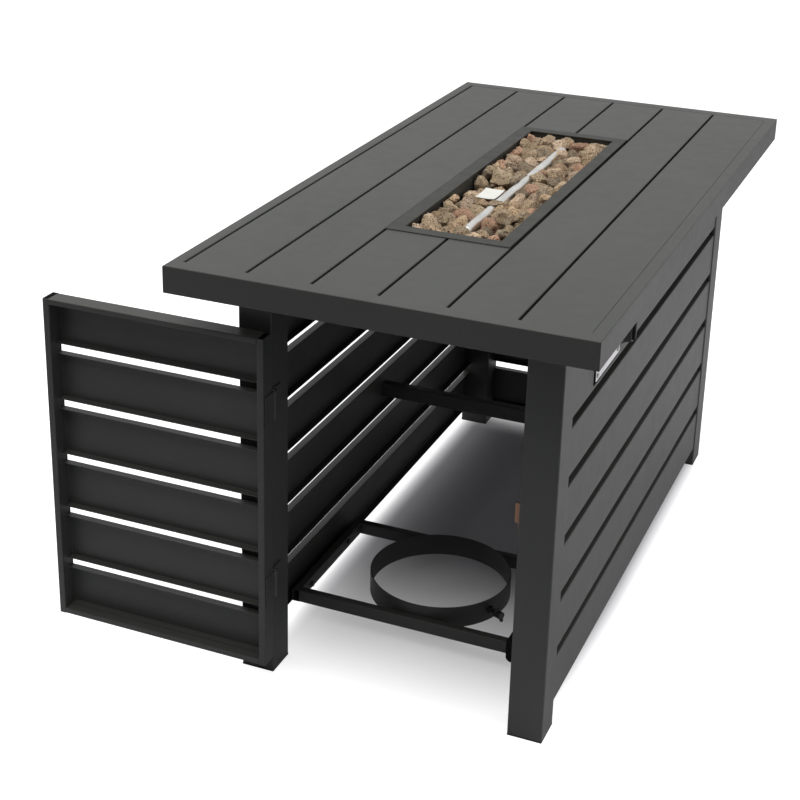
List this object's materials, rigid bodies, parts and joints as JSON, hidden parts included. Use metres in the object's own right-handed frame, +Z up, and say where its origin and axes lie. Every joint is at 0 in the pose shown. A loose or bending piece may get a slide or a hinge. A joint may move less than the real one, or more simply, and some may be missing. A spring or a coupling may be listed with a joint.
{
  "type": "fire pit table",
  "caption": "Rectangular slatted metal fire table with a linear burner, a bed of lava rock, a side knob and igniter, and a hinged end door to a gas tank bay.",
  "frame": {"origin": "on the floor under the middle of the tabletop", "axes": "+X across the short side, away from the open door; +Y along the length, away from the door's end; +Z up"},
  "size_m": [0.806, 1.128, 0.6365],
  "materials": {
    "anthracite_paint": "fine-textured powder coat",
    "dark_burner_paint": "matt heat-resistant paint",
    "burner_steel": "bright drawn steel",
    "plate_steel": "brushed",
    "zinc_steel": "zinc plated",
    "valve_brass": "bright brass",
    "catch_brass": "dull brass-coloured plating",
    "black_plastic": "matt moulded",
    "black_rubber": "matt",
    "lava_rock": null,
    "paper": null,
    "ceramic": null
  },
  "bodies": {
    "frame": {"top_side_rail_right": "anthracite_paint", "top_side_rail_left": "anthracite_paint", "top_end_rail_rear": "anthracite_paint", "top_end_rail_front": "anthracite_paint", "plank_1": "anthracite_paint", "plank_2": "anthracite_paint", "plank_3_front": "anthracite_paint", "plank_3_rear": "anthracite_paint", "plank_4_front": "anthracite_paint", "plank_4_rear": "anthracite_paint", "plank_5": "anthracite_paint", "plank_6": "anthracite_paint", "bearers_end": "anthracite_paint", "bearers_inner": "anthracite_paint", "bearers_mid": "anthracite_paint", "burner_rim": "dark_burner_paint", "burner_pan": "dark_burner_paint", "pan_ledges": "anthracite_paint", "burner_tube": "burner_steel", "burner_brackets": "zinc_steel", "burner_inlet": "valve_brass", "igniter_electrode": "ceramic", "lava_rocks": "lava_rock", "paper_tag": "paper", "leg_rear_right": "anthracite_paint", "leg_rear_left": "anthracite_paint", "leg_front_right": "anthracite_paint", "leg_front_left": "anthracite_paint", "foot_glides": "black_plastic", "aprons_side": "anthracite_paint", "apron_rear": "anthracite_paint", "apron_front": "anthracite_paint", "left_panel_boards": "anthracite_paint", "right_panel_boards": "anthracite_paint", "control_board": "anthracite_paint", "rear_panel_boards": "anthracite_paint", "mid_stretcher": "anthracite_paint", "control_gasket": "black_rubber", "control_plate": "plate_steel", "control_screws": "zinc_steel", "gas_valve": "valve_brass", "feed_pipe": "valve_brass", "igniter_body": "black_plastic", "tray_rails": "anthracite_paint", "tray_side_bars": "anthracite_paint", "tank_ring": "anthracite_paint", "ring_nut": "zinc_steel", "hinge_frame_leaves": "anthracite_paint", "hinge_pins": "zinc_steel", "door_catch": "catch_brass", "door_stop": "black_rubber"},
    "door": {"door_stiles": "anthracite_paint", "door_rails": "anthracite_paint", "door_boards": "anthracite_paint", "hinge_door_leaves": "anthracite_paint"},
    "control_knob": {"knob": "black_plastic", "valve_stem": "zinc_steel"},
    "ignition_button": {"igniter_button": "black_plastic"},
    "clamp_washer": {"ring_washer": "zinc_steel"},
    "clamp_screw": {"ring_screw": "zinc_steel"}
  },
  "joints": [
    {"name": "door_hinge", "type": "hinge", "parent": "frame", "child": "door", "pos_m": [-0.1725, -0.484, 0.285], "axis": [0, 0, 1], "range_deg": [0, 180]},
    {"name": "knob_turn", "type": "hinge", "parent": "frame", "child": "control_knob", "pos_m": [0.226, -0.185, 0.501], "axis": [1, 0, 0], "range_deg": [0, 150]},
    {"name": "igniter_push", "type": "slide", "parent": "frame", "child": "ignition_button", "axis": [-1, 0, 0], "range_m": [0, 0.006], "stiffness_N_per_m": 800},
    {"name": "clamp_feed", "type": "slide", "parent": "frame", "child": "clamp_washer", "axis": [-0.8988, 0.4384, 0], "range_m": [0, 0.008]},
    {"name": "clamp_turn", "type": "hinge", "parent": "clamp_washer", "child": "clamp_screw", "pos_m": [0.08786, -0.2756, 0.053], "axis": [-0.8988, 0.4384, 0], "range_deg": [0, 2880]}
  ],
  "couplings": [
    {"joint": "clamp_turn", "follows": "clamp_feed", "rad_per_m": 6283.2}
  ]
}
